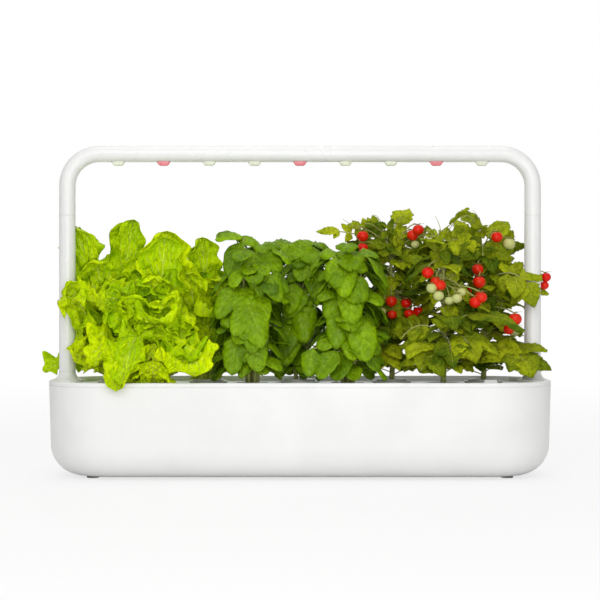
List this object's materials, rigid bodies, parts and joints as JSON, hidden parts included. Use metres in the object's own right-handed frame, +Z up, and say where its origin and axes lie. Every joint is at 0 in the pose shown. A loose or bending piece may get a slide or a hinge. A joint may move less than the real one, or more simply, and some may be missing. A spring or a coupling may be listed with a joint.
{
  "type": "countertop hydroponic garden",
  "caption": "White countertop hydroponic garden: a tub with nine growing cups, an arched LED lamp, lettuce, basil and cherry tomatoes.",
  "frame": {"origin": "on the worktop, under the middle of the tank", "axes": "+X along the tank to the right, +Y to the back, +Z up"},
  "size_m": [0.605, 0.202, 0.4],
  "materials": {
    "white_shell": "fine satin moulding",
    "white_tube": "smooth satin tube",
    "white_cup": "plain moulding",
    "pale_lens": "milky, clear",
    "red_lens": "milky, tinted red",
    "board_green": "lacquered circuit board",
    "black_plastic": "moulded",
    "rubber_pad": "soft grey rubber",
    "float_orange": "light moulding",
    "screw_steel": "bright",
    "soil": "damp fibrous soil",
    "lettuce_leaf": "crisp, ruffled, waxy",
    "basil_leaf": "glossy, puckered",
    "tomato_leaf": "soft, dull",
    "ripe_fruit": "glossy skin",
    "unripe_fruit": "glossy skin"
  },
  "bodies": {
    "tank": {"tank": "white_shell", "rubber_feet": "rubber_pad"},
    "lid": {"lid": "white_shell", "lid_contact": "black_plastic", "control_box": "white_shell", "control_board": "board_green", "power_jack": "black_plastic", "box_screws": "screw_steel"},
    "legs": {"left_leg": "white_tube", "right_leg": "white_tube", "leg_harness": "black_plastic"},
    "lamp": {"lamp_tube": "white_tube", "lens_1": "pale_lens", "lens_2": "red_lens", "lens_3": "pale_lens", "lens_4": "pale_lens", "lens_5": "red_lens", "lens_6": "pale_lens", "lens_7": "pale_lens", "lens_8": "red_lens", "lens_9": "pale_lens", "led_board": "board_green", "lamp_plug": "black_plastic"},
    "float": {"float": "float_orange"},
    "fill_cap": {"fill_cap": "white_shell"},
    "light_button": {"light_button": "white_cup"},
    "pod_1": {"pod_cup_1": "white_cup", "soil_plug_1": "soil", "lettuce_1": "lettuce_leaf"},
    "pod_2": {"pod_cup_2": "white_cup", "soil_plug_2": "soil", "lettuce_2": "lettuce_leaf"},
    "pod_3": {"pod_cup_3": "white_cup", "soil_plug_3": "soil", "lettuce_3": "lettuce_leaf"},
    "pod_4": {"pod_cup_4": "white_cup", "soil_plug_4": "soil", "basil_1": "basil_leaf"},
    "pod_5": {"pod_cup_5": "white_cup", "soil_plug_5": "soil", "basil_2": "basil_leaf"},
    "pod_6": {"pod_cup_6": "white_cup", "soil_plug_6": "soil", "basil_3": "basil_leaf"},
    "pod_7": {"pod_cup_7": "white_cup", "soil_plug_7": "soil", "tomato_plant_1": "tomato_leaf", "ripe_tomatoes_1": "ripe_fruit", "unripe_tomatoes_1": "unripe_fruit"},
    "pod_8": {"pod_cup_8": "white_cup", "soil_plug_8": "soil", "tomato_plant_2": "tomato_leaf", "ripe_tomatoes_2": "ripe_fruit", "unripe_tomatoes_2": "unripe_fruit"},
    "pod_9": {"pod_cup_9": "white_cup", "soil_plug_9": "soil", "tomato_plant_3": "tomato_leaf", "ripe_tomatoes_3": "ripe_fruit", "unripe_tomatoes_3": "unripe_fruit"}
  },
  "joints": [
    {"name": "lid_lift", "type": "slide", "parent": "tank", "child": "lid", "axis": [0, 0, 1], "range_m": [0, 0.05]},
    {"name": "legs_lift", "type": "slide", "parent": "lid", "child": "legs", "axis": [0, 0, 1], "range_m": [0, 0.02]},
    {"name": "lamp_lift", "type": "slide", "parent": "legs", "child": "lamp", "axis": [0, 0, 1], "range_m": [0, 0.02]},
    {"name": "float_rise", "type": "slide", "parent": "lid", "child": "float", "axis": [0, 0, 1], "range_m": [-0.04, 0]},
    {"name": "cap_lift", "type": "slide", "parent": "lid", "child": "fill_cap", "axis": [0, 0, 1], "range_m": [0, 0.02]},
    {"name": "light_press", "type": "slide", "parent": "lid", "child": "light_button", "axis": [0, 0, -1], "range_m": [0, 0.0016], "stiffness_N_per_m": 300},
    {"name": "pod_1_lift", "type": "slide", "parent": "lid", "child": "pod_1", "axis": [0, 0, 1], "range_m": [0, 0.04]},
    {"name": "pod_2_lift", "type": "slide", "parent": "lid", "child": "pod_2", "axis": [0, 0, 1], "range_m": [0, 0.04]},
    {"name": "pod_3_lift", "type": "slide", "parent": "lid", "child": "pod_3", "axis": [0, 0, 1], "range_m": [0, 0.04]},
    {"name": "pod_4_lift", "type": "slide", "parent": "lid", "child": "pod_4", "axis": [0, 0, 1], "range_m": [0, 0.04]},
    {"name": "pod_5_lift", "type": "slide", "parent": "lid", "child": "pod_5", "axis": [0, 0, 1], "range_m": [0, 0.04]},
    {"name": "pod_6_lift", "type": "slide", "parent": "lid", "child": "pod_6", "axis": [0, 0, 1], "range_m": [0, 0.04]},
    {"name": "pod_7_lift", "type": "slide", "parent": "lid", "child": "pod_7", "axis": [0, 0, 1], "range_m": [0, 0.04]},
    {"name": "pod_8_lift", "type": "slide", "parent": "lid", "child": "pod_8", "axis": [0, 0, 1], "range_m": [0, 0.04]},
    {"name": "pod_9_lift", "type": "slide", "parent": "lid", "child": "pod_9", "axis": [0, 0, 1], "range_m": [0, 0.04]}
  ]
}
